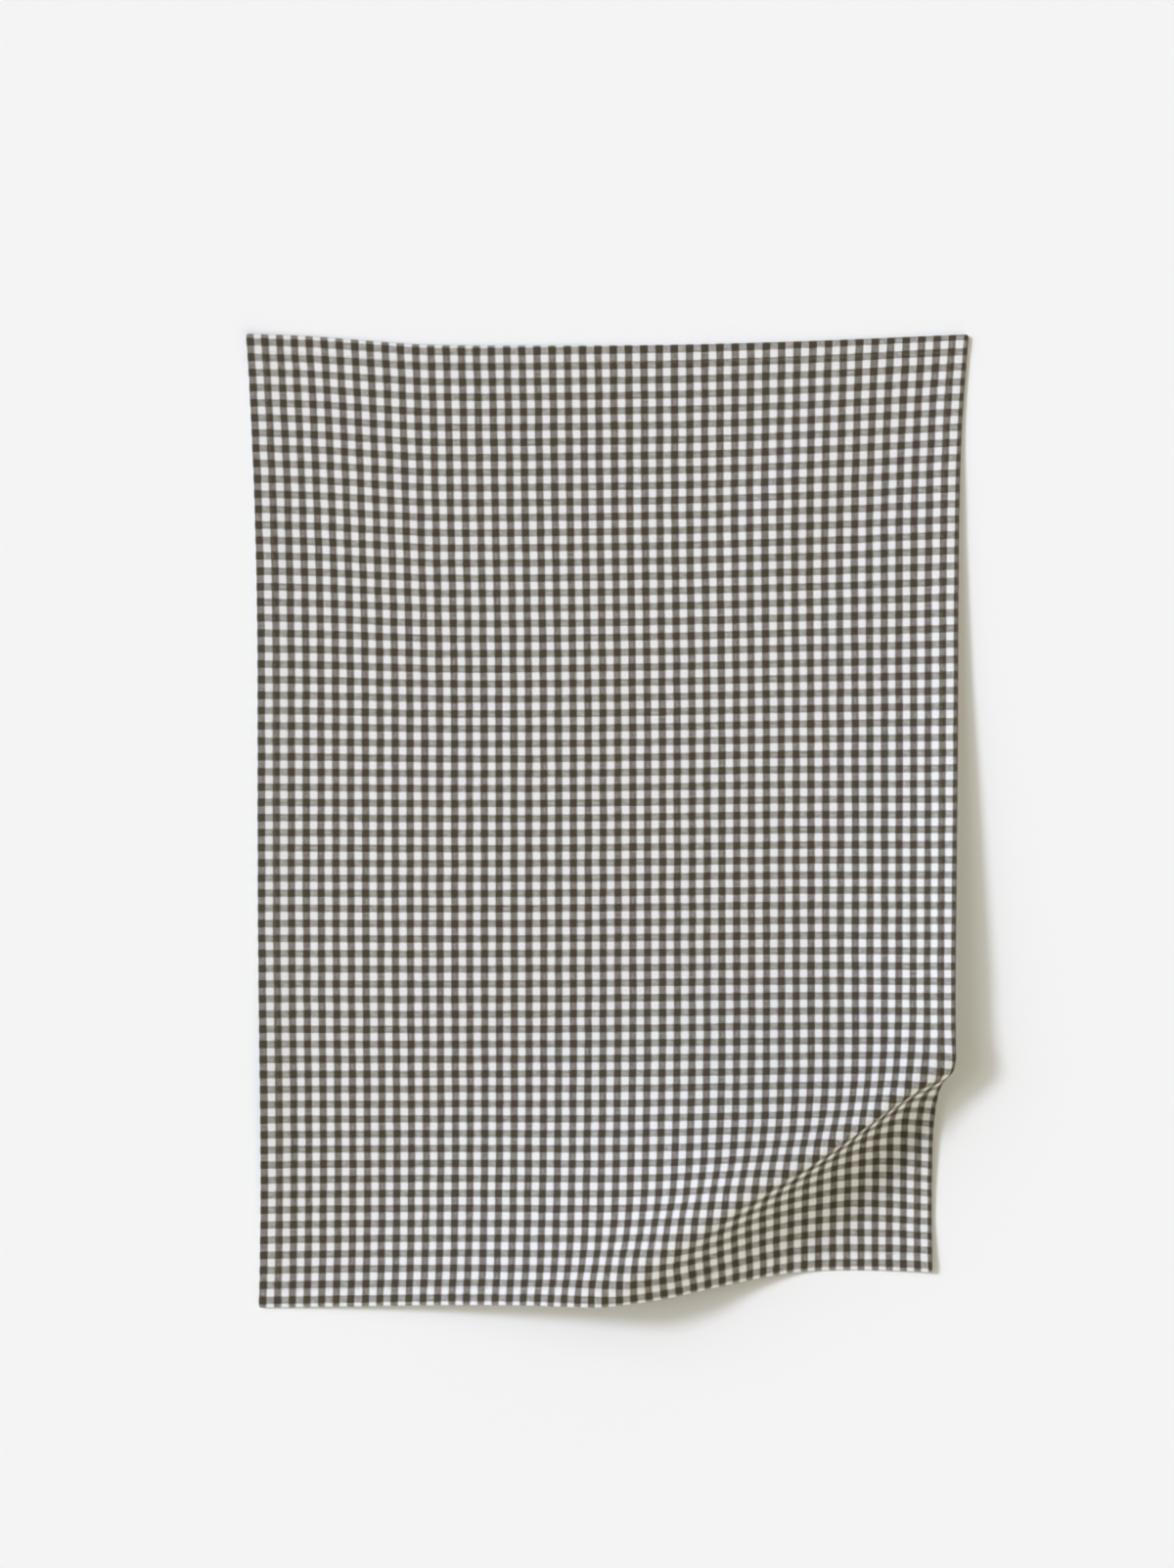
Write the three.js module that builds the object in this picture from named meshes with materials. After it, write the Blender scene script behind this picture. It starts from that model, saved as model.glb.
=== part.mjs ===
// A woven tea towel laid out by hand on a table, in millimetres.
// Most of it lies flat. The lower right corner is pushed up and to the left, so a ridge stands
// across it, steep toward the corner and easy toward the middle, and the right edge rises with it.
// Frame: origin on the table at the middle of the outline, +X across the towel,
// +Y along it toward the flat end, +Z up.

import * as THREE from "three";

// The cloth, measured flat: `across` runs from the left edge, `up` from the lower edge.
const WIDTH = 503;
const LENGTH = 690;
const CLOTH_THICKNESS = 1.2;
const HEM_THICKNESS = 2.2; // three turned layers, pressed and sewn
const HEM_WIDTH = 10.6;
const HEM_STEP = 2.6; // over which the hem thins down to the single cloth
const TOP_CUT = { left: 2.7, right: -1.8, over: 120 }; // the upper edge runs a little off the thread

// The middle of the outline as laid, from the flat cloth's lower left corner.
const MIDDLE = new THREE.Vector2(249.5, 349.3);

// The ridge. Its crest leaves the right edge at CREST_END and runs down to the left.
const CREST_END = new THREE.Vector2(WIDTH, 183.3);
const CREST_ANGLE = THREE.MathUtils.degToRad(33);
const LEAN_CENTRE = -10; // the lean is greatest this far down the steep side
const LEAN_SPREAD = 30;

// Sections square to the crest. along: distance down the crest from the right edge. offset: how far
// the crest bows off its straight line. rise and fall: steepest slope of the easy and the steep side,
// in degrees. back, head and foot: bending radius behind the crest, before it and at the bottom.
// lean: how far the crest is drawn to the left.
const RIDGE = [
  { along: -260, offset: 1, height: 21.5, rise: 11.5, back: 12, fall: 71, head: 14, foot: 12, lean: -1.2 },
  { along: 0, offset: 1, height: 21.5, rise: 11.5, back: 12, fall: 71, head: 14, foot: 12, lean: -1.2 },
  { along: 40, offset: -5.6, height: 29.6, rise: 27.6, back: 8, fall: 76, head: 7.5, foot: 23, lean: 2.7 },
  { along: 80, offset: -12.4, height: 38.6, rise: 31.6, back: 10, fall: 75, head: 2.5, foot: 42, lean: 5.1 },
  { along: 130, offset: -15, height: 47.8, rise: 32.5, back: 22.5, fall: 64.6, head: 2.5, foot: 64, lean: 6.2 },
  { along: 185, offset: -11.4, height: 52.9, rise: 32, back: 36, fall: 53.7, head: 7, foot: 92, lean: 6.2 },
  { along: 240, offset: -10.3, height: 49.1, rise: 28, back: 43, fall: 42, head: 13.4, foot: 110, lean: 7 },
  { along: 300, offset: -9.1, height: 42.6, rise: 25, back: 49, fall: 31, head: 23, foot: 110, lean: 6.4 },
  { along: 360, offset: -8.2, height: 37.2, rise: 24, back: 57, fall: 28, head: 32, foot: 110, lean: 2.2 },
  { along: 430, offset: -6.4, height: 31.7, rise: 25.7, back: 67, fall: 28, head: 40, foot: 110, lean: -1.8 },
];

// The right edge stands up off the table above the ridge and is drawn in by it.
// reach: how far in from the edge the lift and the draw fade out.
const EDGE_LIFT = [
  { up: 0, lift: 0, draw: 4.8, reach: 90 },
  { up: 100, lift: 3.5, draw: 8, reach: 90 },
  { up: 140, lift: 10, draw: 6.8, reach: 90 },
  { up: 190, lift: 5, draw: 5.9, reach: 90 },
  { up: 254, lift: 10.1, draw: 4.4, reach: 95 },
  { up: 373, lift: 11, draw: 2.5, reach: 100 },
  { up: 514, lift: 5.2, draw: 1, reach: 110 },
  { up: 622, lift: 1, draw: 0.4, reach: 110 },
  { up: 690, lift: 0.7, draw: -2, reach: 110 },
];

// The cloth isn't quite square: flare is how far each warp line spreads at the upper end, topRise and
// bodyRise are how far it is pulled up along the towel, at the upper end and lower down.
const WARP = [
  { across: 0, flare: -8, topRise: 5, bodyRise: 0.3 },
  { across: 45, flare: -8.5, topRise: 3.8, bodyRise: 0.2 },
  { across: 90, flare: -7.3, topRise: 0.7, bodyRise: 0 },
  { across: 130, flare: -6.2, topRise: -1.7, bodyRise: 0 },
  { across: 215, flare: -4.5, topRise: -1.4, bodyRise: 0.4 },
  { across: 300, flare: -2, topRise: 0, bodyRise: 1.3 },
  { across: 345, flare: -0.8, topRise: 1.4, bodyRise: 1.9 },
  { across: 385, flare: 1, topRise: 3, bodyRise: 2.3 },
  { across: 430, flare: 3, topRise: 5.2, bodyRise: 2.4 },
  { across: 470, flare: 4.4, topRise: 7.4, bodyRise: 2.4 },
  { across: 503, flare: 4.2, topRise: 9, bodyRise: 2.6 },
];
const FLARE_FROM = 440; // the flare starts this far up and is full FLARE_OVER further on
const FLARE_OVER = 250;
const RISE_FROM = 340;
const RISE_OVER = 300;
const LEFT_BOW = { depth: 2.2, up: 100, spread: 120, reach: 220 };
const FOOT_DRAW = { depth: 3.4, across: 150, spread: 120, reach: 200 };
const UPPER_BOW = { depth: 1.3, up: 560, spread: 100, from: 120 };
const SAG = { depth: 1.2, up: 430, over: 100, across: 200, spread: 140 };

// Low soft swells in the flat part. length and width are half sizes, angle turns the length
// from the direction across.
const SWELLS = [
  { across: 378, up: 566, length: 120, width: 42, angle: 54, height: 2.6 },
  { across: 452, up: 520, length: 110, width: 34, angle: 58, height: 1.8 },
  { across: 0, up: 150, length: 100, width: 26, angle: 90, height: 2.2 },
  { across: 0, up: 690, length: 70, width: 34, angle: 45, height: 1.2 },
  { across: 205, up: 420, length: 110, width: 46, angle: 40, height: 1.2 },
  { across: 503, up: 0, length: 90, width: 40, angle: 33, height: 2.5 },
];

// Grid lines close up where the cloth bends.
const ACROSS_LINES = [
  { to: 250, step: 27 },
  { to: 400, step: 9.4 },
  { to: WIDTH - HEM_WIDTH - HEM_STEP, step: 6.6 },
];
const UP_LINES = [
  { to: 190, step: 7.6 },
  { to: 262, step: 12 },
  { to: LENGTH - HEM_WIDTH - HEM_STEP, step: 27 },
];

const { clamp, degToRad, smoothstep } = THREE.MathUtils;

// Reads a column of a table at a place between its rows, along a smooth curve through them.
function read(table, place, at, column) {
  const last = table.length - 1;
  const x = clamp(at, table[0][place], table[last][place]);
  let i = 0;
  while (i < last - 1 && x > table[i + 1][place]) i += 1;
  const slope = (k) => {
    const before = table[Math.max(k - 1, 0)];
    const after = table[Math.min(k + 1, last)];
    return (after[column] - before[column]) / (after[place] - before[place]);
  };
  const span = table[i + 1][place] - table[i][place];
  const f = (x - table[i][place]) / span;
  const blend = f * f * (3 - 2 * f);
  const lead = f * (1 - f) * (1 - f) * span * slope(i);
  const trail = f * f * (f - 1) * span * slope(i + 1);
  return table[i][column] * (1 - blend) + table[i + 1][column] * blend + lead + trail;
}

// Follows a slope of one angle with a rounded head and foot for the length m along the cloth.
// Returns the level distance gone and the height lost.
function bend(m, height, angle, head, foot) {
  const straight = Math.max((height - (head + foot) * (1 - Math.cos(angle))) / Math.sin(angle), 0);
  const headAngle = clamp(m / head, 0, angle);
  const onSlope = clamp(m - head * angle, 0, straight);
  const onFoot = Math.max(m - head * angle - straight, 0);
  const footAngle = clamp(angle - onFoot / foot, 0, angle);
  const beyond = Math.max(onFoot - foot * angle, 0);
  return {
    run:
      head * Math.sin(headAngle) +
      onSlope * Math.cos(angle) +
      foot * (Math.sin(angle) - Math.sin(footAngle)) +
      beyond,
    drop:
      head * (1 - Math.cos(headAngle)) +
      onSlope * Math.sin(angle) +
      foot * (Math.cos(footAngle) - Math.cos(angle)),
  };
}

// The ridge's height at a place on the flat cloth, and how far it draws that place.
function ridge(across, up) {
  const cos = Math.cos(CREST_ANGLE);
  const sin = Math.sin(CREST_ANGLE);
  const dx = across - CREST_END.x;
  const dy = up - CREST_END.y;
  const along = -(dx * cos + dy * sin);
  const section = (column) => read(RIDGE, "along", along, column);
  const behind = dy * cos - dx * sin - section("offset");

  const height = section("height");
  const rise = degToRad(section("rise"));
  const back = section("back");
  const tail = height / (1 - Math.cos(rise)) - back;
  const easy = bend(Math.max(behind, 0), height, rise, back, tail);
  const steep = bend(
    Math.max(-behind, 0),
    height,
    degToRad(section("fall")),
    section("head"),
    section("foot"),
  );

  const easySide = (back + tail) * (rise - Math.sin(rise));
  const drawn = easySide - (Math.max(behind, 0) - easy.run) + (Math.max(-behind, 0) - steep.run);
  const lean = section("lean") * Math.exp(-(((behind - LEAN_CENTRE) / LEAN_SPREAD) ** 2));
  return new THREE.Vector3(-sin * drawn - lean, cos * drawn, height - easy.drop - steep.drop);
}

// The lift of the right edge. What it takes up of the cloth draws the edge in as well.
function edgeLift(across, up) {
  const column = (name) => read(EDGE_LIFT, "up", up, name);
  const lift = column("lift");
  const reach = column("reach");
  const near = clamp(1 - (WIDTH - across) / reach, 0, 1);
  const takenUp = (2 * lift ** 2 * near ** 3) / (3 * reach);
  return new THREE.Vector3(-takenUp - column("draw") * near ** 2, 0, lift * near ** 2);
}

// How the flat cloth is pulled out of square in its own plane.
function outOfSquare(across, up) {
  const column = (name) => read(WARP, "across", across, name);
  const flare = column("flare") * clamp((up - FLARE_FROM) / FLARE_OVER, 0, 1) ** 2;
  const high = smoothstep(up, RISE_FROM, RISE_FROM + RISE_OVER);
  const rise = THREE.MathUtils.lerp(column("bodyRise"), column("topRise"), high);
  const bow =
    LEFT_BOW.depth *
    Math.exp(-(((up - LEFT_BOW.up) / LEFT_BOW.spread) ** 2)) *
    clamp(1 - across / LEFT_BOW.reach, 0, 1);
  const foot =
    FOOT_DRAW.depth *
    Math.exp(-(((across - FOOT_DRAW.across) / FOOT_DRAW.spread) ** 2)) *
    clamp(1 - up / FOOT_DRAW.reach, 0, 1);
  const upper =
    UPPER_BOW.depth *
    Math.exp(-(((up - UPPER_BOW.up) / UPPER_BOW.spread) ** 2)) *
    smoothstep(across, 0, UPPER_BOW.from);
  const sag =
    SAG.depth *
    Math.exp(-(((up - SAG.up) / SAG.over) ** 2)) *
    Math.exp(-(((across - SAG.across) / SAG.spread) ** 2));
  return new THREE.Vector3(flare + bow - upper, rise + foot - sag, 0);
}

function swells(across, up) {
  let height = 0;
  for (const swell of SWELLS) {
    const turn = degToRad(swell.angle);
    const dx = across - swell.across;
    const dy = up - swell.up;
    const lengthwise = (dx * Math.cos(turn) + dy * Math.sin(turn)) / swell.length;
    const crosswise = (dy * Math.cos(turn) - dx * Math.sin(turn)) / swell.width;
    height += swell.height * Math.max(1 - lengthwise ** 2 - crosswise ** 2, 0) ** 2;
  }
  return new THREE.Vector3(0, 0, height);
}

// Where a place on the flat cloth comes to lie: its underside.
function underside(across, up) {
  return new THREE.Vector3(across - MIDDLE.x, up - MIDDLE.y, 0)
    .add(ridge(across, up))
    .add(edgeLift(across, up))
    .add(outOfSquare(across, up))
    .add(swells(across, up));
}

// The direction out of the upper face, square to the cloth.
function outward(across, up) {
  const nudge = 0.5;
  const alongWeft = underside(across + nudge, up).sub(underside(across - nudge, up));
  const alongWarp = underside(across, up + nudge).sub(underside(across, up - nudge));
  return alongWeft.cross(alongWarp).normalize();
}

function thickness(across, up) {
  const inFromEdge = Math.min(across, WIDTH - across, up, LENGTH - up);
  const inner = smoothstep(inFromEdge, HEM_WIDTH, HEM_WIDTH + HEM_STEP);
  return THREE.MathUtils.lerp(HEM_THICKNESS, CLOTH_THICKNESS, inner);
}

// Grid lines from 0 to the full size: the hem's, then the stretches, then the far hem's.
function gridLines(stretches, size) {
  const lines = [0, HEM_WIDTH, HEM_WIDTH + HEM_STEP];
  for (const { to, step } of stretches) {
    const from = lines[lines.length - 1];
    const count = Math.round((to - from) / step);
    for (let i = 1; i <= count; i += 1) lines.push(from + ((to - from) * i) / count);
  }
  lines.push(size - HEM_WIDTH, size);
  return lines;
}

// One closed solid: the upper face, the underside and a rim around both.
function clothGeometry() {
  const acrossLines = gridLines(ACROSS_LINES, WIDTH);
  const upLines = gridLines(UP_LINES, LENGTH);
  const columns = acrossLines.length;
  const rows = upLines.length;
  const upper = [];
  const lower = [];
  for (const up of upLines) {
    for (const across of acrossLines) {
      const cut = THREE.MathUtils.lerp(TOP_CUT.left, TOP_CUT.right, across / WIDTH);
      const place = up + cut * smoothstep(up, LENGTH - TOP_CUT.over, LENGTH);
      const base = underside(across, place);
      const top = outward(across, place).multiplyScalar(thickness(across, up)).add(base);
      upper.push(top.x, top.y, top.z);
      lower.push(base.x, base.y, base.z);
    }
  }

  const face = [];
  const quad = (a, b, c, d) => face.push(a, b, c, a, c, d);
  const under = rows * columns;
  for (let j = 0; j < rows - 1; j += 1) {
    for (let i = 0; i < columns - 1; i += 1) {
      const a = j * columns + i;
      quad(a, a + 1, a + columns + 1, a + columns);
      quad(under + a, under + a + columns, under + a + columns + 1, under + a + 1);
    }
  }
  const rim = (a, b) => quad(a, under + a, under + b, b);
  for (let i = 0; i < columns - 1; i += 1) {
    const far = (rows - 1) * columns + i;
    rim(i, i + 1);
    rim(far + 1, far);
  }
  for (let j = 0; j < rows - 1; j += 1) {
    const near = j * columns;
    const far = near + columns - 1;
    rim(near + columns, near);
    rim(far, far + columns);
  }

  const geometry = new THREE.BufferGeometry();
  geometry.setAttribute("position", new THREE.Float32BufferAttribute([...upper, ...lower], 3));
  geometry.setIndex(face);
  geometry.computeVertexNormals();
  return geometry;
}

function towel() {
  const cotton = new THREE.MeshStandardMaterial({ color: 0xa9a6a0, roughness: 0.95, metalness: 0 });
  const mesh = new THREE.Mesh(clothGeometry(), cotton);
  mesh.name = "towel";
  return mesh;
}

const teaTowel = new THREE.Group();
teaTowel.add(towel());

export default teaTowel;
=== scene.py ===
"""A gingham tea towel laid out by hand, with one ridge pushed up across its lower right corner.

Sizes are in millimetres, as a maker measures the cloth, and become metres when a mesh is made.
Places on the flat cloth are `across`, from its left edge, and `up`, from its lower edge.
"""

import math

import bpy
import numpy as np
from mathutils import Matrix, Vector


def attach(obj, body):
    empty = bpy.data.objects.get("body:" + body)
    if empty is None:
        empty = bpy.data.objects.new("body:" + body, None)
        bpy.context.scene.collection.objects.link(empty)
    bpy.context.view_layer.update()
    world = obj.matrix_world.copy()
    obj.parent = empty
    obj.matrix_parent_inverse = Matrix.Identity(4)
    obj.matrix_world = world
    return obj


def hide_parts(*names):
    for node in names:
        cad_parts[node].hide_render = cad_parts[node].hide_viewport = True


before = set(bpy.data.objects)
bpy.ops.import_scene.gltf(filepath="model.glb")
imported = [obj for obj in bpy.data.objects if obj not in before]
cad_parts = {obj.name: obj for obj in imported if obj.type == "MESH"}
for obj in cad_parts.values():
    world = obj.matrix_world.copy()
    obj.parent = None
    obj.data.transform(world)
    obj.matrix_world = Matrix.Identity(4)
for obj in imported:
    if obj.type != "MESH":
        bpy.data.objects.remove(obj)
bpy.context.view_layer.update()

MM = 0.001

# ---------------------------------------------------------------- the cloth's sizes

WIDTH = 503
LENGTH = 690
CLOTH_THICKNESS = 0.75
HEM_THICKNESS = 2.0  # three turned layers, pressed and sewn
HEM_WIDTH = 13.2
HEM_FOLD = 0.5  # over which the hem's inner fold turns on the underside
HEM_SETTLE = 9  # over which the single cloth comes down from the hem to the table
CORNER_BULK = 0.6  # extra thickness where two hems cross
CORNER_ROUND = 2.6
STITCH_INSET = 12.4
STITCH_DIP = 0.3  # how deep the sewing pulls the hem down
STITCH_DIP_WIDTH = 1.1
TOP_CUT_LEFT = 2.7  # the upper edge runs a little off the thread
TOP_CUT_RIGHT = -1.8
TOP_CUT_OVER = 120

# The check: six dark and six white yarns to a repeat, each way.
YARNS = 12
REPEAT_ACROSS = 10.62
REPEAT_UP = 10.815
FIRST_DARK_WARP = 0.545  # where the first dark stripe starts, from the left edge
FIRST_DARK_WEFT = 2.696  # and from the lower edge

# ---------------------------------------------------------------- how the cloth lies

MIDDLE_ACROSS = 249.5
MIDDLE_UP = 349.3

CREST_END_ACROSS = WIDTH
CREST_END_UP = 183.3
CREST_ANGLE = math.radians(33)
LEAN_CENTRE = -10  # the crest's lean is greatest this far behind it, and fades either way
LEAN_SPREAD = 30


def table(columns, rows):
    """A table as one array for each named column."""
    return dict(zip(columns.split(), np.array(rows, float).T))


# Sections square to the crest, by the distance along it from the right edge. offset: how far the
# crest bows off its straight line. rise and fall: the steepest slope of the easy and the steep side,
# in degrees. back, head and foot: bending radius behind the crest, before it and at the bottom.
# lean: how far the crest is drawn to the left.
RIDGE = table(
    "along offset height rise back fall head foot lean",
    [
        (-260, 1, 21.5, 11.5, 12, 71, 14, 12, -1.2),
        (0, 1, 21.5, 11.5, 12, 71, 14, 12, -1.2),
        (40, -5.6, 29.6, 27.6, 8, 76, 7.5, 23, 2.7),
        (80, -12.4, 38.6, 31.6, 10, 75, 2.5, 42, 5.1),
        (130, -15, 47.8, 32.5, 22.5, 64.6, 2.5, 64, 6.2),
        (185, -11.4, 52.9, 32, 36, 53.7, 7, 92, 6.2),
        (240, -10.3, 49.1, 28, 43, 42, 13.4, 110, 7),
        (300, -9.1, 42.6, 25, 49, 31, 23, 110, 6.4),
        (360, -8.2, 37.2, 24, 57, 28, 32, 110, 2.2),
        (430, -6.4, 31.7, 25.7, 67, 28, 40, 110, -1.8),
    ],
)

# The right edge stands up off the table above the ridge and is drawn in by it.
EDGE_LIFT = table(
    "up lift draw reach",
    [
        (0, 0, 4.8, 90),
        (100, 3.5, 8, 90),
        (140, 10, 6.8, 90),
        (190, 5, 5.9, 90),
        (254, 10.1, 4.4, 95),
        (373, 11, 2.5, 100),
        (514, 5.2, 1, 110),
        (622, 1, 0.4, 110),
        (690, 0.7, -2, 110),
    ],
)

# How far each warp line spreads at the upper end, and how far it is pulled up along the towel.
WARP = table(
    "across flare top_rise body_rise",
    [
        (0, -8, 5, 0.3),
        (45, -8.5, 3.8, 0.2),
        (90, -7.3, 0.7, 0),
        (130, -6.2, -1.7, 0),
        (215, -4.5, -1.4, 0.4),
        (300, -2, 0, 1.3),
        (345, -0.8, 1.4, 1.9),
        (385, 1, 3, 2.3),
        (430, 3, 5.2, 2.4),
        (470, 4.4, 7.4, 2.4),
        (503, 4.2, 9, 2.6),
    ],
)
FLARE_FROM = 440
FLARE_OVER = 250
RISE_FROM = 340
RISE_OVER = 300

# The left edge bows in above its lower corner.
LEFT_BOW_DEPTH = 2.2
LEFT_BOW_UP = 100
LEFT_BOW_SPREAD = 120
LEFT_BOW_REACH = 220

# The lower edge is drawn up left of the ridge.
FOOT_DRAW_DEPTH = 3.4
FOOT_DRAW_ACROSS = 150
FOOT_DRAW_SPREAD = 120
FOOT_DRAW_REACH = 200

# The warp bows to the left in the upper part, all but at the left edge.
UPPER_BOW_DEPTH = 1.3
UPPER_BOW_UP = 560
UPPER_BOW_SPREAD = 100
UPPER_BOW_FROM = 120

# The weft sags a little in the middle.
SAG_DEPTH = 1.2
SAG_UP = 430
SAG_OVER = 100
SAG_ACROSS = 200
SAG_SPREAD = 140

# Low soft swells. length and width are half sizes, angle turns the length from across, in degrees.
SWELLS = [
    dict(across=378, up=566, length=120, width=42, angle=54, height=2.6),
    dict(across=452, up=520, length=110, width=34, angle=58, height=1.8),
    dict(across=0, up=150, length=100, width=26, angle=90, height=2.2),
    dict(across=0, up=690, length=70, width=34, angle=45, height=1.2),
    dict(across=205, up=420, length=110, width=46, angle=40, height=1.2),
    dict(across=503, up=0, length=90, width=40, angle=33, height=2.5),
]


def smoothstep(value, low, high):
    """0 below low, 1 above high and a soft ramp between."""
    f = np.clip((value - low) / (high - low), 0, 1)
    return f * f * (3 - 2 * f)


def read(rows, place, at, column):
    """A column of a table at a place between its rows, along a smooth curve through them."""
    places = rows[place]
    values = rows[column]
    index = np.arange(len(places))
    before = np.maximum(index - 1, 0)
    after = np.minimum(index + 1, len(places) - 1)
    slopes = (values[after] - values[before]) / (places[after] - places[before])
    x = np.clip(at, places[0], places[-1])
    i = np.searchsorted(places[1:-1], x)
    span = places[i + 1] - places[i]
    f = (x - places[i]) / span
    blend = f * f * (3 - 2 * f)
    lead = f * (1 - f) ** 2 * span * slopes[i]
    trail = f * f * (f - 1) * span * slopes[i + 1]
    return values[i] * (1 - blend) + values[i + 1] * blend + lead + trail


def bend(m, height, angle, head, foot):
    """Follows a slope with a rounded head and foot for the length m: level run, height lost."""
    straight = np.maximum((height - (head + foot) * (1 - np.cos(angle))) / np.sin(angle), 0)
    head_angle = np.clip(m / head, 0, angle)
    on_slope = np.clip(m - head * angle, 0, straight)
    on_foot = np.maximum(m - head * angle - straight, 0)
    foot_angle = np.clip(angle - on_foot / foot, 0, angle)
    beyond = np.maximum(on_foot - foot * angle, 0)
    run = (
        head * np.sin(head_angle)
        + on_slope * np.cos(angle)
        + foot * (np.sin(angle) - np.sin(foot_angle))
        + beyond
    )
    drop = (
        head * (1 - np.cos(head_angle))
        + on_slope * np.sin(angle)
        + foot * (np.cos(foot_angle) - np.cos(angle))
    )
    return run, drop


def ridge(across, up):
    """The ridge's height at a place on the flat cloth, and how far it draws that place."""
    cos = math.cos(CREST_ANGLE)
    sin = math.sin(CREST_ANGLE)
    dx = across - CREST_END_ACROSS
    dy = up - CREST_END_UP
    along = -(dx * cos + dy * sin)

    def section(column):
        return read(RIDGE, "along", along, column)

    behind = dy * cos - dx * sin - section("offset")
    height = section("height")
    rise = np.radians(section("rise"))
    back = section("back")
    tail = height / (1 - np.cos(rise)) - back
    fall = np.radians(section("fall"))
    easy_run, easy_drop = bend(np.maximum(behind, 0), height, rise, back, tail)
    steep_run, steep_drop = bend(
        np.maximum(-behind, 0), height, fall, section("head"), section("foot")
    )
    easy_side = (back + tail) * (rise - np.sin(rise))
    drawn = easy_side - (np.maximum(behind, 0) - easy_run) + (np.maximum(-behind, 0) - steep_run)
    lean = section("lean") * np.exp(-(((behind - LEAN_CENTRE) / LEAN_SPREAD) ** 2))
    return np.stack([-sin * drawn - lean, cos * drawn, height - easy_drop - steep_drop], -1)


def edge_lift(across, up):
    """The lift of the right edge. What it takes up of the cloth draws the edge in as well."""
    lift = read(EDGE_LIFT, "up", up, "lift")
    draw = read(EDGE_LIFT, "up", up, "draw")
    reach = read(EDGE_LIFT, "up", up, "reach")
    near = np.clip(1 - (WIDTH - across) / reach, 0, 1)
    taken_up = 2 * lift**2 * near**3 / (3 * reach)
    return np.stack([-taken_up - draw * near**2, 0 * near, lift * near**2], -1)


def out_of_square(across, up):
    """How the flat cloth is pulled out of square in its own plane."""
    flare = read(WARP, "across", across, "flare")
    flare = flare * np.clip((up - FLARE_FROM) / FLARE_OVER, 0, 1) ** 2
    high = smoothstep(up, RISE_FROM, RISE_FROM + RISE_OVER)
    body_rise = read(WARP, "across", across, "body_rise")
    top_rise = read(WARP, "across", across, "top_rise")
    rise = body_rise + (top_rise - body_rise) * high
    bow = LEFT_BOW_DEPTH * np.exp(-(((up - LEFT_BOW_UP) / LEFT_BOW_SPREAD) ** 2))
    bow = bow * np.clip(1 - across / LEFT_BOW_REACH, 0, 1)
    foot = FOOT_DRAW_DEPTH * np.exp(-(((across - FOOT_DRAW_ACROSS) / FOOT_DRAW_SPREAD) ** 2))
    foot = foot * np.clip(1 - up / FOOT_DRAW_REACH, 0, 1)
    upper = UPPER_BOW_DEPTH * np.exp(-(((up - UPPER_BOW_UP) / UPPER_BOW_SPREAD) ** 2))
    upper = upper * smoothstep(across, 0, UPPER_BOW_FROM)
    sag = SAG_DEPTH * np.exp(-(((up - SAG_UP) / SAG_OVER) ** 2))
    sag = sag * np.exp(-(((across - SAG_ACROSS) / SAG_SPREAD) ** 2))
    return np.stack([flare + bow - upper, rise + foot - sag, 0 * flare], -1)


def swells(across, up):
    """The height of the low swells."""
    height = np.zeros(np.shape(across))
    for swell in SWELLS:
        turn = math.radians(swell["angle"])
        dx = across - swell["across"]
        dy = up - swell["up"]
        lengthwise = (dx * math.cos(turn) + dy * math.sin(turn)) / swell["length"]
        crosswise = (dy * math.cos(turn) - dx * math.sin(turn)) / swell["width"]
        height = height + swell["height"] * np.maximum(1 - lengthwise**2 - crosswise**2, 0) ** 2
    return np.stack([0 * height, 0 * height, height], -1)


def underside(across, up):
    """Where the underside of a place on the flat cloth comes to lie."""
    flat = np.stack([across - MIDDLE_ACROSS, up - MIDDLE_UP, 0 * across], -1)
    return (
        flat
        + ridge(across, up)
        + edge_lift(across, up)
        + out_of_square(across, up)
        + swells(across, up)
    )


NUDGE = 0.5  # how far apart, each way, the places are that give the cloth's direction


def outward(across, up):
    """The direction out of the upper face, square to the cloth."""
    along_weft = underside(across + NUDGE, up) - underside(across - NUDGE, up)
    along_warp = underside(across, up + NUDGE) - underside(across, up - NUDGE)
    normal = np.cross(along_weft, along_warp)
    return normal / np.linalg.norm(normal, axis=-1, keepdims=True)


def cloth_point(across, up, raised):
    """A place on the flat cloth, raised off its underside, where it lies."""
    return underside(across, up) + outward(across, up) * np.asarray(raised)[..., None]


# ---------------------------------------------------------------- the hemmed sheet

# Grid lines in from an edge: the rolled fold, the hem, its stitching and its inner fold.
EDGE_LINES = (
    [0, 0.12, 0.4, 1.0, 1.9, 3.0, 4.5, 7.5, 10.4, 11.6, 12.4, 13.0]
    + [13.2, 13.45, 13.7, 16, 19]
)
SLACK = 0.01  # less than any two grid lines are apart

# Grid lines between the edges: where each stretch ends, and about how far apart they are in it.
BODY_ACROSS = [(250, 5.2), (WIDTH - EDGE_LINES[-1], 2.5)]
BODY_UP = [(235, 2.4), (LENGTH - EDGE_LINES[-1], 5.4)]

HEM_BULK_FADE = 3  # over which the extra thickness of a hem crossing fades out
HEM_FOLD_START = 0.2  # how far before its inner fold the hem's underside starts to rise


def grid_lines(stretches, size):
    """Grid lines over the cloth from edge to edge, close together along the two hems."""
    lines = list(EDGE_LINES)
    for end, step in stretches:
        start = lines[-1]
        count = round((end - start) / step)
        lines += [start + (end - start) * (i + 1) / count for i in range(count)]
    lines += [size - line for line in reversed(EDGE_LINES[:-1])]
    return np.array(lines, float)


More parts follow.
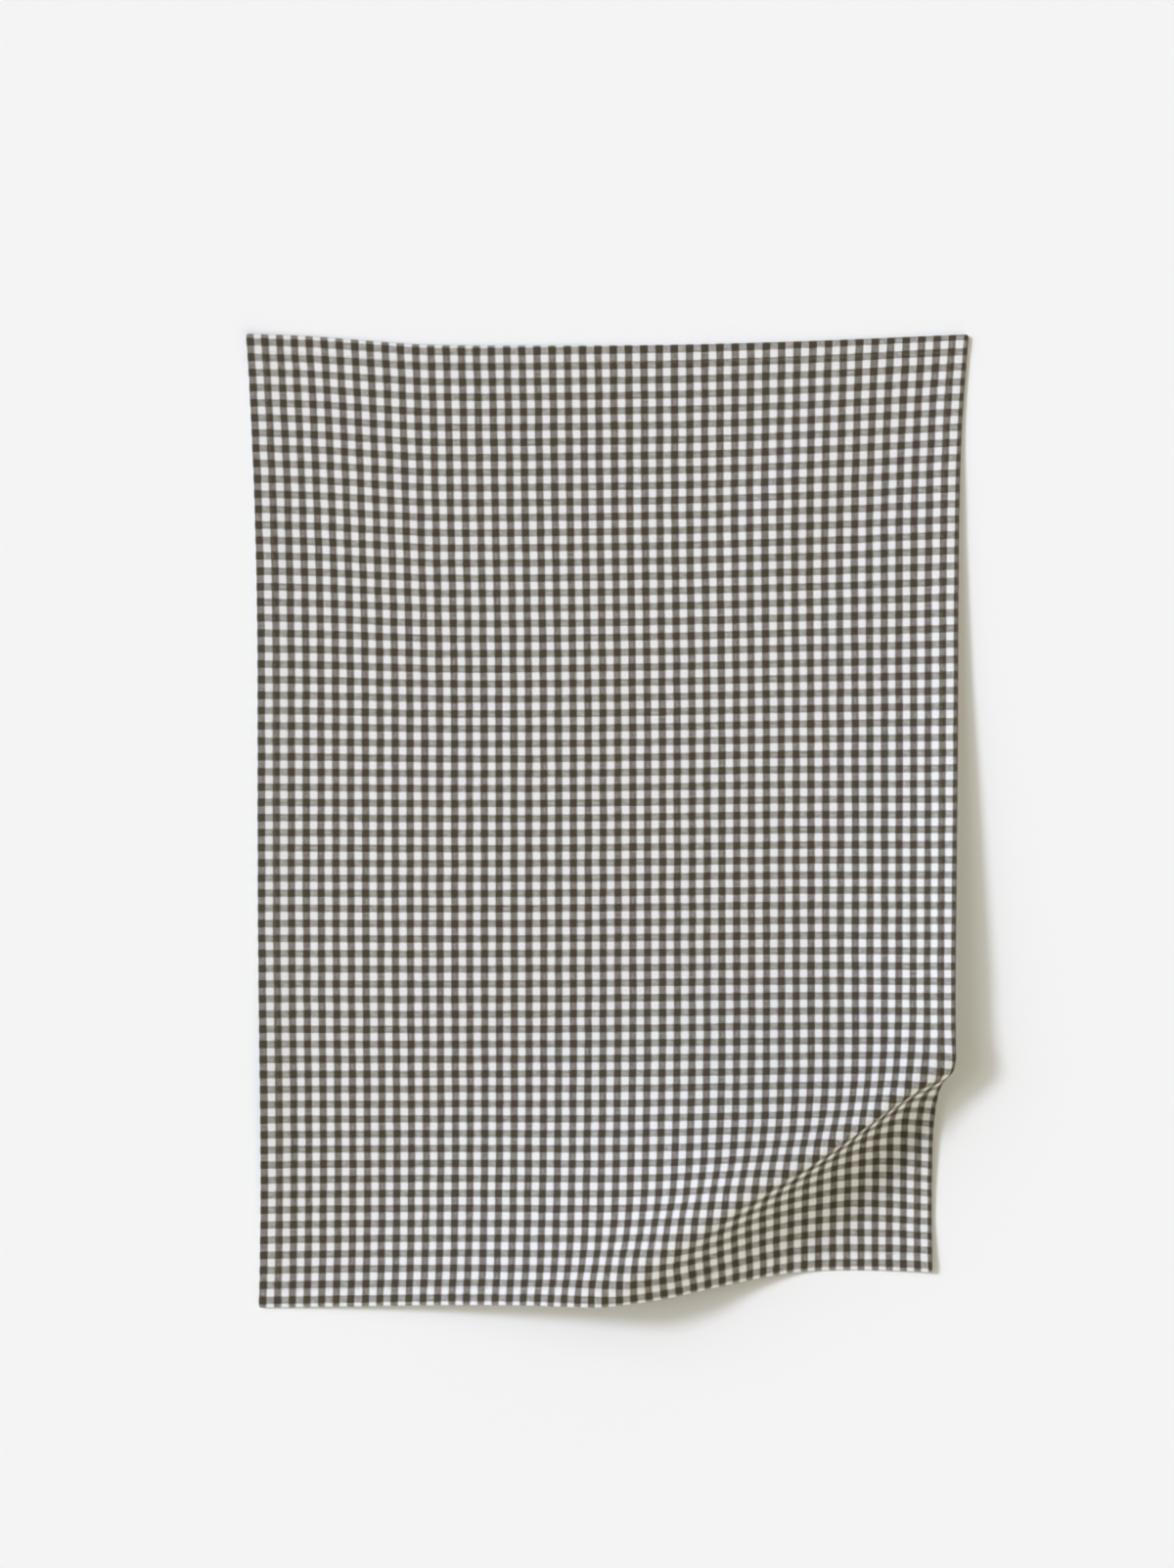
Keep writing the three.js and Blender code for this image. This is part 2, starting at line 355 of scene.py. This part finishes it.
def rounded_corners(across, up):
    """Draws the grid in at the four corners, so that the outline turns them in a small round."""
    out_x = np.maximum(np.abs(across - WIDTH / 2) - (WIDTH / 2 - CORNER_ROUND), 0) / CORNER_ROUND
    out_y = np.maximum(np.abs(up - LENGTH / 2) - (LENGTH / 2 - CORNER_ROUND), 0) / CORNER_ROUND
    drawn_x = out_x * (1 - np.sqrt(1 - out_y**2 / 2)) * CORNER_ROUND
    drawn_y = out_y * (1 - np.sqrt(1 - out_x**2 / 2)) * CORNER_ROUND
    return (
        across - np.sign(across - WIDTH / 2) * drawn_x,
        up - np.sign(up - LENGTH / 2) * drawn_y,
    )


def on_thread(across, up):
    """The upper edge is cut a little off the thread: where a grid place is on the cloth."""
    cut = TOP_CUT_LEFT + (TOP_CUT_RIGHT - TOP_CUT_LEFT) * across / WIDTH
    return up + cut * smoothstep(up, LENGTH - TOP_CUT_OVER, LENGTH)


def from_edges(across, up):
    """The distance in from the nearest edge, and from the next nearest."""
    side = np.minimum(across, WIDTH - across)
    end = np.minimum(up, LENGTH - up)
    return np.minimum(side, end), np.maximum(side, end)


def hem_section(across, up):
    """How far the underside and the upper face stand off the lying surface."""
    inset, other = from_edges(across, up)
    bulk = CORNER_BULK * (1 - smoothstep(other, HEM_WIDTH - HEM_BULK_FADE, HEM_WIDTH))
    hem = HEM_THICKNESS + bulk
    fold = hem / 2
    roll = np.clip(1 - inset / fold, 0, 1)
    half = fold * np.sqrt(1 - roll**2)
    step = hem - CLOTH_THICKNESS
    settled = smoothstep(inset, HEM_WIDTH + HEM_FOLD, HEM_WIDTH + HEM_FOLD + HEM_SETTLE)
    lower = np.where(inset < HEM_WIDTH, fold - half, 0.0)
    turned = smoothstep(inset, HEM_WIDTH - HEM_FOLD_START, HEM_WIDTH + HEM_FOLD)
    lower = lower + step * turned * (1 - settled)
    upper = np.where(inset < HEM_WIDTH, fold + half, 0.0)
    upper = np.where(inset < HEM_WIDTH, upper, step * (1 - settled) + CLOTH_THICKNESS)
    dip = STITCH_DIP * np.exp(-(((inset - STITCH_INSET) / STITCH_DIP_WIDTH) ** 2))
    return lower, upper - dip


def mesh_object(name, points, faces, material):
    """A named mesh from points in millimetres."""
    mesh = bpy.data.meshes.new(name)
    mesh.from_pydata((np.asarray(points) * MM).tolist(), [], faces)
    mesh.polygons.foreach_set("use_smooth", [True] * len(mesh.polygons))
    mesh.materials.append(material)
    mesh.update()
    piece = bpy.data.objects.new(name, mesh)
    bpy.context.scene.collection.objects.link(piece)
    return piece


def unfold_hem(places, gaps, lines, size, axis):
    """Carries the underside's thread places on past the edge where the hem is turned under."""
    fold = HEM_WIDTH + HEM_FOLD
    near, far = np.searchsorted(lines, [fold - SLACK, size - fold - SLACK])
    places[gaps < near, :, axis] *= -1
    places[gaps >= far, :, axis] = 2 * size - places[gaps >= far, :, axis]


def make_cloth(material):
    """The towel as one closed thin sheet: upper face and underside, joined at the rolled edge."""
    across_lines = grid_lines(BODY_ACROSS, WIDTH)
    up_lines = grid_lines(BODY_UP, LENGTH)
    columns = len(across_lines)
    rows = len(up_lines)
    grid_across, grid_up = np.meshgrid(across_lines, up_lines)
    lower, upper = hem_section(grid_across, grid_up)
    across, up = rounded_corners(grid_across, grid_up)
    up = on_thread(across, up)
    top = cloth_point(across, up, upper).reshape(-1, 3)
    bottom = cloth_point(across, up, lower).reshape(-1, 3)

    inner = np.zeros((rows, columns), bool)
    inner[1:-1, 1:-1] = True
    below = np.arange(rows * columns)
    below[inner.ravel()] = rows * columns + np.arange(inner.sum())
    points = np.concatenate([top, bottom[inner.ravel()]])

    first = (np.arange(rows - 1)[:, None] * columns + np.arange(columns - 1)).ravel()
    quads = np.stack([first, first + 1, first + columns + 1, first + columns], -1)
    under_quads = below[quads[:, ::-1]]
    faces = np.concatenate([quads, under_quads])
    piece = mesh_object("towel_cloth", points, faces.tolist(), material)

    thread = np.stack([across.ravel(), up.ravel()], -1)
    over = thread[quads]
    under = thread[quads[:, ::-1]]
    unfold_hem(under, first % columns, across_lines, WIDTH, 0)
    unfold_hem(under, first // columns, up_lines, LENGTH, 1)
    places = np.concatenate([over, under]) * MM
    layer = piece.data.uv_layers.new(name="thread")
    layer.data.foreach_set("uv", places.ravel())
    return piece


# ---------------------------------------------------------------- the sewing

STITCH_LENGTH = 3.0
STITCH_GAP = 0.6
THREAD_RADIUS = 0.24
THREAD_SUNK = 1.1  # in radii, how deep a stitch dives at its ends
THREAD_RISES = 1.3  # in radii, how much of that it comes up again in its middle
BLUNT = 0.01  # keeps the ends of a stitch from closing to a point
STITCH_RINGS = 5
STITCH_SIDES = 6


def stitch_run(start, end):
    """Centres and directions of the stitches on a straight run of the hem."""
    start = np.array(start, float)
    end = np.array(end, float)
    length = np.linalg.norm(end - start)
    count = int(length // (STITCH_LENGTH + STITCH_GAP))
    direction = (end - start) / length
    steps = (np.arange(count) + 0.5) * length / count
    return start + steps[:, None] * direction, np.repeat(direction[None], count, 0)


def stitch_faces(count):
    """The faces of this many separate stitches, each a short tube closed at both ends."""
    ring = np.arange(STITCH_SIDES)
    following = (ring + 1) % STITCH_SIDES
    quads = []
    for step in range(STITCH_RINGS - 1):
        start = step * STITCH_SIDES
        over = start + STITCH_SIDES
        sides = [start + ring, start + following, over + following, over + ring]
        quads += np.stack(sides, -1).tolist()
    last = (STITCH_RINGS - 1) * STITCH_SIDES
    one = quads + [ring[::-1].tolist(), (last + ring).tolist()]
    size = STITCH_RINGS * STITCH_SIDES
    starts = range(0, count * size, size)
    return [[start + corner for corner in face] for start in starts for face in one]


def make_stitches(material):
    """The hem's sewing, as one mesh of short sunk stitches on the upper face and the underside."""
    near = STITCH_INSET
    far_across = WIDTH - STITCH_INSET
    far_up = LENGTH - STITCH_INSET
    corners = [(near, near), (far_across, near), (far_across, far_up), (near, far_up)]
    runs = [stitch_run(corners[i], corners[(i + 1) % 4]) for i in range(4)]
    centres = np.concatenate([run[0] for run in runs])[:, None, None]
    directions = np.concatenate([run[1] for run in runs])[:, None, None]
    sideways = np.stack([-directions[..., 1], directions[..., 0]], -1)

    along = (np.linspace(-0.5, 0.5, STITCH_RINGS) * STITCH_LENGTH)[:, None, None]
    swell = np.sqrt(np.maximum(1 - (2 * along / STITCH_LENGTH) ** 2, BLUNT))
    turn = (np.arange(STITCH_SIDES) * 2 * math.pi / STITCH_SIDES)[:, None]
    place = centres + directions * along + sideways * THREAD_RADIUS * swell * np.cos(turn)
    across = place[..., 0]
    up = place[..., 1]
    bulge = (THREAD_RADIUS * swell * np.sin(turn))[..., 0]
    sunk = (THREAD_RADIUS * (THREAD_SUNK - THREAD_RISES * swell))[..., 0]
    lower, upper = hem_section(across, up)
    threaded = on_thread(across, up)
    over = cloth_point(across, threaded, upper + bulge - sunk)
    under = cloth_point(across, threaded, np.maximum(lower - bulge + sunk, 0))[..., ::-1, :]
    points = np.concatenate([over, under]).reshape(-1, 3)
    return mesh_object("hem_stitches", points, stitch_faces(2 * len(centres)), material)


# ---------------------------------------------------------------- materials


class Wire:
    """An output socket of a material. Arithmetic on it adds Math nodes."""

    def __init__(self, tree, socket=None):
        self.tree = tree
        self.socket = socket

    def node(self, kind, settings=None, out=0, **values):
        """Adds a node: its settings first, then the values or wires of its sockets, by name."""
        made = self.tree.nodes.new(kind)
        for key, value in (settings or {}).items():
            setattr(made, key, value)
        for key, value in values.items():
            name = key.strip("_").replace("_", " ")
            socket = made.inputs[int(name) if name.isdigit() else name]
            if isinstance(value, Wire):
                self.tree.links.new(value.socket, socket)
            else:
                socket.default_value = value
        return Wire(self.tree, made.outputs[out] if made.outputs else None)

    def output(self, name):
        """Another output of the same node."""
        return Wire(self.tree, self.socket.node.outputs[name])

    def noise(self, scale, detail, dimensions="2D"):
        """Smooth unevenness around a half, at this many waves to a metre."""
        settings = {"noise_dimensions": dimensions}
        return self.node("ShaderNodeTexNoise", settings, Vector=self, Scale=scale, Detail=detail)

    def math(self, operation, *others):
        operands = {f"_{i}": value for i, value in enumerate((self, *others))}
        return self.node("ShaderNodeMath", {"operation": operation}, **operands)

    def __add__(self, other):
        return self.math("ADD", other)

    def __mul__(self, other):
        return self.math("MULTIPLY", other)

    def __sub__(self, other):
        return self.math("SUBTRACT", other)

    def __lt__(self, other):
        return self.math("LESS_THAN", other)

    def smooth(self, low, high):
        """0 below low, 1 above high and a soft ramp between."""
        return self.node(
            "ShaderNodeMapRange",
            {"interpolation_type": "SMOOTHSTEP"},
            Value=self,
            From_Min=low,
            From_Max=high,
        )

    def blend(self, first, second):
        """Mixes two colours, with this as the second one's share."""
        return self.node(
            "ShaderNodeMix", {"data_type": "RGBA"}, 2, _0=self, _6=first, _7=second
        )

    def tint(self, colour):
        """A colour scaled by this value."""
        return self.node("ShaderNodeVectorMath", {"operation": "SCALE"}, _0=colour, Scale=self)


def new_material(name):
    """An empty material, and a wire to build it with."""
    material = bpy.data.materials.new(name)
    material.use_nodes = True
    tree = material.node_tree
    tree.nodes.clear()
    return material, Wire(tree)


def finish_material(wires, **values):
    """Ends a material in a Principled surface with these values or wires on its sockets."""
    surface = wires.node("ShaderNodeBsdfPrincipled", **values)
    wires.node("ShaderNodeOutputMaterial", Surface=surface)


WHITE_YARN = (0.795, 0.79, 0.785, 1)
DARK_YARN = (0.073, 0.058, 0.038, 1)
DARK_WARP_SHARE = 0.45  # how much more of a mixed block the warp takes up where it is dark
DARK_WEFT_SHARE = 0.16  # and the weft
UNEVEN = 1.1  # how far a mixed block wanders between its yarns
UNEVEN_SCALE = 620.0
DRIFT = 0.9  # how far the yarns wander, in yarns
DRIFT_SCALE = 55.0
ELSEWHERE = (3.1, 1.7, 4.2)  # so that warp and weft wander apart
SLUB_SCALE = 900.0
SLUB = 0.1  # how much the yarns' thickness varies their shade
CREVICE_SHADE = 0.14  # painted shade: how much darker the cloth is painted between its yarns
CREVICE_SHADE_WIDTH = 0.55
OVERLAP = 0.12  # over which one yarn gives way to the other
YARN_ROUND = 0.6  # how much of the bump is each yarn's own roundness
YARN_OVER = 0.4  # and how much its rise over the other
YARN_BUMP = 0.18


def gingham_cotton():
    """Plain-woven cotton: a check of dark and white yarns, each passing over and under, with painted
    shade between the yarns.
    """
    material, wires = new_material("gingham_cotton")
    thread = wires.node("ShaderNodeUVMap", {"uv_map": "thread"})
    places = wires.node("ShaderNodeSeparateXYZ", Vector=thread)
    across = places.output("X")
    up = places.output("Y")

    drift = thread.noise(DRIFT_SCALE, 2.0)
    warp = (across - FIRST_DARK_WARP * MM) * (YARNS / (REPEAT_ACROSS * MM)) + (drift - 0.5) * DRIFT
    elsewhere = thread.node("ShaderNodeVectorMath", _0=thread, _1=ELSEWHERE)
    drift = elsewhere.noise(DRIFT_SCALE, 2.0, "3D")
    weft = (up - FIRST_DARK_WEFT * MM) * (YARNS / (REPEAT_UP * MM)) + (drift - 0.5) * DRIFT

    dark_warp = warp.math("FLOORED_MODULO", YARNS) < YARNS / 2
    dark_weft = weft.math("FLOORED_MODULO", YARNS) < YARNS / 2
    warp_wave = (warp * math.pi).math("SINE")
    weft_wave = (weft * math.pi).math("SINE")
    crossing = warp_wave * weft_wave
    bias = dark_warp * DARK_WARP_SHARE - dark_weft * DARK_WEFT_SHARE
    beat = thread.noise(UNEVEN_SCALE, 1.0)
    bias = bias + (beat - 0.5) * UNEVEN
    warp_on_top = (crossing + bias).smooth(-OVERLAP, OVERLAP)

    warp_colour = dark_warp.blend(WHITE_YARN, DARK_YARN)
    weft_colour = dark_weft.blend(WHITE_YARN, DARK_YARN)
    colour = warp_on_top.blend(weft_colour, warp_colour)

    slub = thread.noise(SLUB_SCALE, 1.0)
    # Painted shade: the colour is darkened in the crevices between the yarns, where shade falls. The
    # slub varies the yarns' own tone.
    crevice_shade_mask = crossing.math("ABSOLUTE").smooth(0.0, CREVICE_SHADE_WIDTH)
    shade = (crevice_shade_mask * CREVICE_SHADE + (1 - CREVICE_SHADE)) * (slub * SLUB + (1 - SLUB / 2))

    rise = crossing * YARN_OVER
    warp_height = warp_wave.math("ABSOLUTE") * YARN_ROUND + rise
    weft_height = weft_wave.math("ABSOLUTE") * YARN_ROUND - rise
    height = warp_height.math("MAXIMUM", weft_height)
    normal = wires.node("ShaderNodeBump", Height=height, Distance=YARN_BUMP * MM, Strength=0.6)
    finish_material(
        wires,
        Base_Color=shade.tint(colour),
        Roughness=0.92,
        Specular_IOR_Level=0.1,
        Sheen_Weight=0.03,
        Sheen_Roughness=0.5,
        Normal=normal,
    )
    return material


def sewing_thread():
    """Fine twisted sewing thread, a dull tan."""
    material, wires = new_material("sewing_thread")
    place = wires.node("ShaderNodeNewGeometry")
    fleck = wires.node("ShaderNodeTexNoise", Vector=place, Scale=900.0, Detail=2.0)
    colour = fleck.smooth(0.35, 0.65).blend((0.20, 0.165, 0.11, 1), (0.34, 0.29, 0.20, 1))
    normal = wires.node("ShaderNodeBump", Height=fleck, Distance=0.08 * MM, Strength=0.5)
    finish_material(
        wires, Base_Color=colour, Roughness=0.7, Specular_IOR_Level=0.3, Normal=normal
    )
    return material


FLOOR_ALBEDO = 0.86


def pale_floor():
    """A plain pale matt surface."""
    material, wires = new_material("pale_floor")
    pale = (FLOOR_ALBEDO, FLOOR_ALBEDO, FLOOR_ALBEDO, 1)
    finish_material(wires, Base_Color=pale, Roughness=1.0, Specular_IOR_Level=0.0)
    return material


# ---------------------------------------------------------------- the stage

# From here on sizes are in metres.
FLOOR_HALF = 25.0
LIT = 0.905  # how bright the open floor reads
AMBIENT = (0.282, 0.263, 0.206)  # the part of it that comes from all round
FILL = (0.172, 0.163, 0.134)  # the part that comes from the wide fill light
FILL_SLOPE = (-0.65, 0.87, -0.62)
FILL_SOFTNESS = math.radians(60)
KEY_SLOPE = (1.25, -0.47, -1)  # how the key light travels
KEY_SOFTNESS = math.radians(11)
SPILL_SHARE = 0.4  # of the key light, spread wider around it
SPILL_SOFTNESS = math.radians(45)

CAMERA_ABOVE = (-0.0136, 0.0264)
CAMERA_HEIGHT = 2.5
CAMERA_REACH = 100
SENSOR = 36  # in millimetres
VIEW_HEIGHT = 1.122  # how much of the floor the view is high


def make_floor():
    """The surface the towel lies on, as stage only."""
    h = FLOOR_HALF
    mesh = bpy.data.meshes.new("floor")
    mesh.from_pydata([(-h, -h, 0), (h, -h, 0), (h, h, 0), (-h, h, 0)], [], [(0, 1, 2, 3)])
    mesh.materials.append(pale_floor())
    floor = bpy.data.objects.new("floor", mesh)
    bpy.context.scene.collection.objects.link(floor)


def make_lamp(name, slope, softness, share):
    """A far light that travels along slope and gives the open floor this share of its brightness."""
    travel = Vector(slope).normalized()
    light = bpy.data.lights.new(name, "SUN")
    light.energy = max(share) * math.pi / (FLOOR_ALBEDO * -travel.z)
    light.color = [part / max(share) for part in share]
    light.angle = softness
    lamp = bpy.data.objects.new(name, light)
    lamp.rotation_euler = travel.to_track_quat("-Z", "Y").to_euler()
    bpy.context.scene.collection.objects.link(lamp)


def make_lights():
    """A low sun-like key with a softer spill around it, a wide fill and an even surround."""
    key = [LIT - fill - ambient for fill, ambient in zip(FILL, AMBIENT)]
    make_lamp("key", KEY_SLOPE, KEY_SOFTNESS, [part * (1 - SPILL_SHARE) for part in key])
    make_lamp("key_spill", KEY_SLOPE, SPILL_SOFTNESS, [part * SPILL_SHARE for part in key])
    make_lamp("fill", FILL_SLOPE, FILL_SOFTNESS, FILL)
    world = bpy.data.worlds.new("studio")
    world.use_nodes = True
    background = world.node_tree.nodes["Background"]
    background.inputs["Color"].default_value = (*[part / FLOOR_ALBEDO for part in AMBIENT], 1)
    background.inputs["Strength"].default_value = 1.0
    bpy.context.scene.world = world


def make_camera():
    """A camera straight above, looking down."""
    camera = bpy.data.cameras.new("camera")
    camera.sensor_width = SENSOR
    camera.lens = SENSOR * CAMERA_HEIGHT / VIEW_HEIGHT
    camera.clip_end = CAMERA_REACH
    holder = bpy.data.objects.new("camera", camera)
    holder.location = (*CAMERA_ABOVE, CAMERA_HEIGHT)
    bpy.context.scene.collection.objects.link(holder)
    bpy.context.scene.camera = holder


def main():
    """Builds the scene: camera, floor, lights and the towel with its sewing."""
    bpy.context.scene.view_settings.view_transform = "Standard"
    make_camera()
    make_floor()
    make_lights()
    cloth = make_cloth(gingham_cotton())
    stitches = make_stitches(sewing_thread())
    for piece in (cloth, stitches):
        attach(piece, "root")
    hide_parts("towel")


main()
